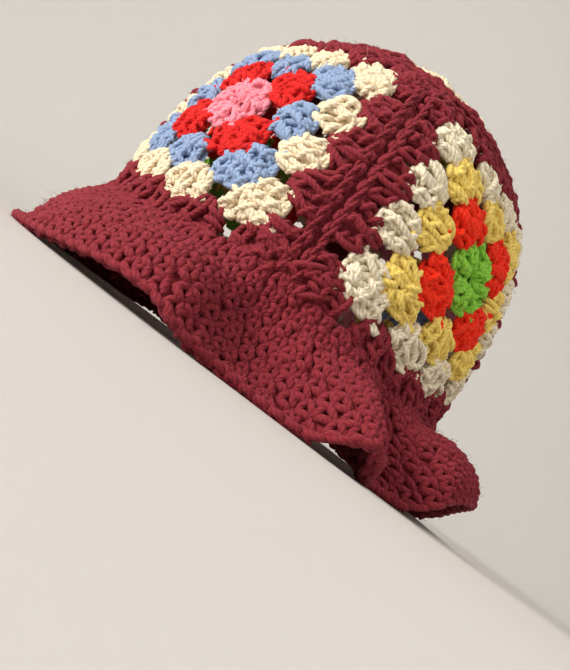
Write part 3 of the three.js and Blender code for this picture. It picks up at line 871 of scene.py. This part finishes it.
def plied_yarn_group():
    """Plies twisted along the strand, fibres along the plies, and painted shade that darkens the colour
    between the plies.
    """
    group = bpy.data.node_groups.new("plied_yarn", "ShaderNodeTree")
    group.interface.new_socket(name="Colour", in_out="INPUT", socket_type="NodeSocketColor")
    for name in ("Plies", "Twist length", "Variation"):
        group.interface.new_socket(name=name, in_out="INPUT", socket_type="NodeSocketFloat")
    group.interface.new_socket(name="Colour", in_out="OUTPUT", socket_type="NodeSocketColor")
    for name in ("Roughness", "Height"):
        group.interface.new_socket(name=name, in_out="OUTPUT", socket_type="NodeSocketFloat")
    nodes, links = group.nodes, group.links
    given = nodes.new("NodeGroupInput")
    result = nodes.new("NodeGroupOutput")
    uv = nodes.new("ShaderNodeUVMap")
    uv.uv_map = "along_yarn"
    split = nodes.new("ShaderNodeSeparateXYZ")
    links.new(uv.outputs["UV"], split.inputs[0])
    around, along = split.outputs[0], split.outputs[1]
    turns = math_node(group, "DIVIDE", along, given.outputs["Twist length"])
    wound = math_node(group, "ADD", around, turns)
    plies = math_node(group, "MULTIPLY", wound, given.outputs["Plies"])
    phase = math_node(group, "MULTIPLY", plies, math.pi)
    ply = math_node(group, "ABSOLUTE", math_node(group, "SINE", phase))
    ply_round = math_node(group, "POWER", ply, YARN_LOOK["ply_power"])
    # the fibres run along the plies, and change with the height on the hat
    place = nodes.new("ShaderNodeTexCoord")
    up_hat = nodes.new("ShaderNodeSeparateXYZ")
    links.new(place.outputs["Object"], up_hat.inputs[0])
    combine = nodes.new("ShaderNodeCombineXYZ")
    links.new(math_node(group, "MULTIPLY", wound, YARN_LOOK["fibres_round"]), combine.inputs[0])
    links.new(math_node(group, "MULTIPLY", along, YARN_LOOK["fibres_along"]), combine.inputs[1])
    links.new(math_node(group, "MULTIPLY", up_hat.outputs[2], YARN_LOOK["fibres_up"]), combine.inputs[2])
    fibre = noise_node(group, combine.outputs[0], YARN_LOOK["fibre_scale"], YARN_LOOK["fibre_detail"])
    patch = noise_node(group, place.outputs["Object"], YARN_LOOK["patch_scale"], YARN_LOOK["patch_detail"])
    # painted light on the crowns of the plies and painted shade in the grooves between them, with streaks of
    # fibre and soft patches
    streaks = swing(group, fibre, YARN_LOOK["streaks"])
    uneven = math_node(group, "ADD", streaks, swing(group, patch, YARN_LOOK["patches"]))
    mottle = math_node(group, "MULTIPLY", uneven, given.outputs["Variation"])
    # painted shade: the colour is scaled from valley in the grooves between the plies up to valley plus crown
    # on their crowns
    crown = math_node(group, "MULTIPLY", ply_round, YARN_LOOK["crown"])
    crown = math_node(group, "ADD", crown, YARN_LOOK["valley"])
    tone = nodes.new("ShaderNodeVectorMath")
    tone.operation = "SCALE"
    links.new(given.outputs["Colour"], tone.inputs[0])
    links.new(math_node(group, "ADD", crown, mottle), tone.inputs["Scale"])
    links.new(tone.outputs[0], result.inputs["Colour"])
    rough_fibres = math_node(group, "MULTIPLY", fibre, YARN_LOOK["rough_fibres"])
    links.new(math_node(group, "ADD", rough_fibres, YARN_LOOK["rough"]), result.inputs["Roughness"])
    high_fibres = math_node(group, "MULTIPLY", fibre, YARN_LOOK["high_fibres"])
    links.new(math_node(group, "ADD", ply_round, high_fibres), result.inputs["Height"])
    return group


PLIED_YARN = plied_yarn_group()
MATERIALS = {}


def linear(value):
    """A colour value as on a screen, made linear."""
    if value <= SRGB["bend"]:
        return value / SRGB["slope"]
    return ((value + SRGB["offset"]) / (1 + SRGB["offset"])) ** SRGB["power"]


def yarn_material(yarn):
    """The material of one yarn, made when it is first asked for."""
    if yarn in MATERIALS:
        return MATERIALS[yarn]
    material = bpy.data.materials.new("yarn_" + yarn)
    material.use_nodes = True
    nodes, links = material.node_tree.nodes, material.node_tree.links
    shader = nodes["Principled BSDF"]
    spun = nodes.new("ShaderNodeGroup")
    spun.node_tree = PLIED_YARN
    colour = [linear(value) for value in YARNS[yarn]["colour"]]
    spun.inputs["Colour"].default_value = (*colour, 1)
    spun.inputs["Plies"].default_value = YARN_FINISH["plies"]
    spun.inputs["Twist length"].default_value = YARN_FINISH["twist_mm"]
    spun.inputs["Variation"].default_value = YARNS[yarn]["variation"]
    bump = nodes.new("ShaderNodeBump")
    bump.inputs["Strength"].default_value = YARN_FINISH["bump"]
    bump.inputs["Distance"].default_value = YARN_FINISH["bump_m"]
    links.new(spun.outputs["Height"], bump.inputs["Height"])
    links.new(spun.outputs["Colour"], shader.inputs["Base Color"])
    links.new(spun.outputs["Roughness"], shader.inputs["Roughness"])
    links.new(bump.outputs["Normal"], shader.inputs["Normal"])
    shader.inputs["Sheen Weight"].default_value = YARN_FINISH["sheen"]
    tint = [value ** YARN_FINISH["sheen_power"] for value in colour]
    shader.inputs["Sheen Tint"].default_value = (*tint, 1)
    shader.inputs["Sheen Roughness"].default_value = YARN_FINISH["sheen_roughness"]
    shader.inputs["Specular IOR Level"].default_value = YARN_FINISH["specular"]
    MATERIALS[yarn] = material
    return material


# Pieces

def squares():
    for name, square in SQUARES.items():
        for ring, yarn in enumerate([*square["yarns"], "wine"], 1):
            node = f"{name}_square_round_{ring}"
            piece(node + "_stitches", round_strands(name, ring), yarn, node)


def corner_seams():
    rise = TOP_EDGE_AT_CORNER - FOOT_AT_CORNER
    t = seam_steps(rise * CROWN_LENGTH, closed=False)
    for node, azimuth in SEAMS.items():
        strands = seam_strands(np.full_like(t, azimuth), FOOT_AT_CORNER + rise * t, closed=False)
        piece(node + "_stitches", strands, "wine", node)


def top_seam():
    azimuth = 360 * seam_steps(TOP_SEAM_LENGTH, closed=True) - CORNER_TURN
    share = top_edge_share(azimuth) + SEAM_HALF_WIDTH / CROWN_LENGTH
    piece("seam_top_stitches", seam_strands(azimuth, share, closed=True), "wine", "seam_top")


def brim():
    stitches, fibres = brim_strands()
    piece("brim_stitches", stitches, "wine", "brim_front", "brim_left", "brim_back", "brim_right")
    piece("brim_fibres", fibres, "wine")


squares()
corner_seams()
top_seam()
brim()


# Backdrop, camera and light. Lengths in metres, angles in degrees.

CAMERA = {"azimuth": 44.7, "elevation": -4.0, "roll": 37.2, "distance": 0.3819,
          "focal_px": 758.9, "clip": 0.01}
AIM = {"right": 0.0122, "up": -0.0477, "height": 0.0815}
PHOTO_HEIGHT_PX = 670
SENSOR_MM = 36.0
BACKDROP = {"width": 8.0, "in_front": 2.0, "behind": 1.3, "height": 3.0,
            "bend": 0.9, "segments": 32, "near": 0.01}
PAPER = {"colour": (0.76, 0.74, 0.71, 1), "roughness": 0.85}
# Places of the lights along the picture's right and up, and towards the camera.
LIGHTS = {
    "window": {"right": -0.75, "up": 1.15, "back": 0.7, "size": 0.7, "power": 30,
               "colour": (1.0, 0.97, 0.93)},
    "fill": {"right": 1.2, "up": 0.9, "back": 0.5, "size": 1.2, "power": 11,
             "colour": (1.0, 0.97, 0.94)},
}
LIT_POINT = Vector((0, 0, 0.08))
SKY = {"colour": (0.93, 0.92, 0.90, 1), "strength": 0.45}


def camera_axes():
    """The camera's right, up and back, before it is rolled and after."""
    azimuth, elevation, roll = (math.radians(CAMERA[key]) for key in ("azimuth", "elevation", "roll"))
    level = math.cos(elevation)
    back = Vector((math.sin(azimuth) * level, -math.cos(azimuth) * level, math.sin(elevation)))
    right = Vector((math.cos(azimuth), math.sin(azimuth), 0))
    up = back.cross(right)
    rolled_right = right * math.cos(roll) + up * math.sin(roll)
    rolled_up = up * math.cos(roll) - right * math.sin(roll)
    return right, up, rolled_right, rolled_up, back


def paper_material():
    material = bpy.data.materials.new("pale_paper")
    material.use_nodes = True
    shader = material.node_tree.nodes["Principled BSDF"]
    shader.inputs["Base Color"].default_value = PAPER["colour"]
    shader.inputs["Roughness"].default_value = PAPER["roughness"]
    return material


def backdrop():
    """A pale sheet that lies under the hat and bends up behind it."""
    turn = math.radians(CAMERA["azimuth"])
    away = Vector((-math.sin(turn), math.cos(turn), 0))
    back_line = BACKDROP["behind"] - BACKDROP["near"]
    bpy.ops.object.select_all(action="DESELECT")
    bpy.ops.mesh.primitive_plane_add(size=1, location=(0, 0, 0))
    sheet = bpy.context.object
    sheet.name = "backdrop"
    sheet.scale = (BACKDROP["width"], BACKDROP["in_front"] + BACKDROP["behind"], 1)
    sheet.rotation_euler = (0, 0, turn)
    sheet.location = away * ((BACKDROP["behind"] - BACKDROP["in_front"]) / 2)
    bpy.ops.object.transform_apply(location=True, rotation=True, scale=True)
    for edge in sheet.data.edges:
        ends = [sheet.data.vertices[i].co.dot(away) for i in edge.vertices]
        edge.select = min(ends) > back_line
    for vertex in sheet.data.vertices:
        vertex.select = vertex.co.dot(away) > back_line
    bpy.ops.object.mode_set(mode="EDIT")
    bpy.ops.mesh.select_mode(type="EDGE")
    bpy.ops.mesh.extrude_region_move(TRANSFORM_OT_translate={"value": (0, 0, BACKDROP["height"])})
    bpy.ops.mesh.select_all(action="DESELECT")
    bpy.ops.object.mode_set(mode="OBJECT")
    for edge in sheet.data.edges:
        ends = [sheet.data.vertices[i].co for i in edge.vertices]
        edge.select = all(abs(end.z) < BACKDROP["near"] and end.dot(away) > back_line for end in ends)
    bpy.ops.object.mode_set(mode="EDIT")
    bpy.ops.mesh.bevel(offset=BACKDROP["bend"], segments=BACKDROP["segments"], affect="EDGES")
    bpy.ops.object.mode_set(mode="OBJECT")
    bpy.ops.object.shade_smooth()
    sheet.data.materials.clear()
    sheet.data.materials.append(paper_material())


def camera():
    right, up, rolled_right, rolled_up, back = camera_axes()
    middle = Vector((PLAN_SHIFT[0] * MM, PLAN_SHIFT[1] * MM, AIM["height"]))
    aim = middle + right * AIM["right"] + up * AIM["up"]
    data = bpy.data.cameras.new("camera")
    data.sensor_width = SENSOR_MM
    data.lens = SENSOR_MM * CAMERA["focal_px"] / PHOTO_HEIGHT_PX
    data.clip_start = CAMERA["clip"]
    obj = bpy.data.objects.new("camera", data)
    turned = Matrix((rolled_right, rolled_up, back)).transposed().to_4x4()
    obj.matrix_world = Matrix.Translation(aim + back * CAMERA["distance"]) @ turned
    bpy.context.scene.collection.objects.link(obj)
    bpy.context.scene.camera = obj


def area_light(name, place, lamp):
    data = bpy.data.lights.new(name, "AREA")
    data.size = lamp["size"]
    data.energy = lamp["power"]
    data.color = lamp["colour"]
    obj = bpy.data.objects.new(name, data)
    obj.location = place
    obj.rotation_euler = (LIT_POINT - place).to_track_quat("-Z", "Y").to_euler()
    bpy.context.scene.collection.objects.link(obj)


def light():
    """A window at the picture's upper left, and a weaker light from its right."""
    _, _, right, up, back = camera_axes()
    for name, lamp in LIGHTS.items():
        area_light(name, right * lamp["right"] + up * lamp["up"] + back * lamp["back"], lamp)
    world = bpy.data.worlds.new("studio")
    world.use_nodes = True
    sky = world.node_tree.nodes["Background"]
    sky.inputs["Color"].default_value = SKY["colour"]
    sky.inputs["Strength"].default_value = SKY["strength"]
    bpy.context.scene.world = world
    bpy.context.scene.view_settings.view_transform = "Standard"


backdrop()
camera()
light()
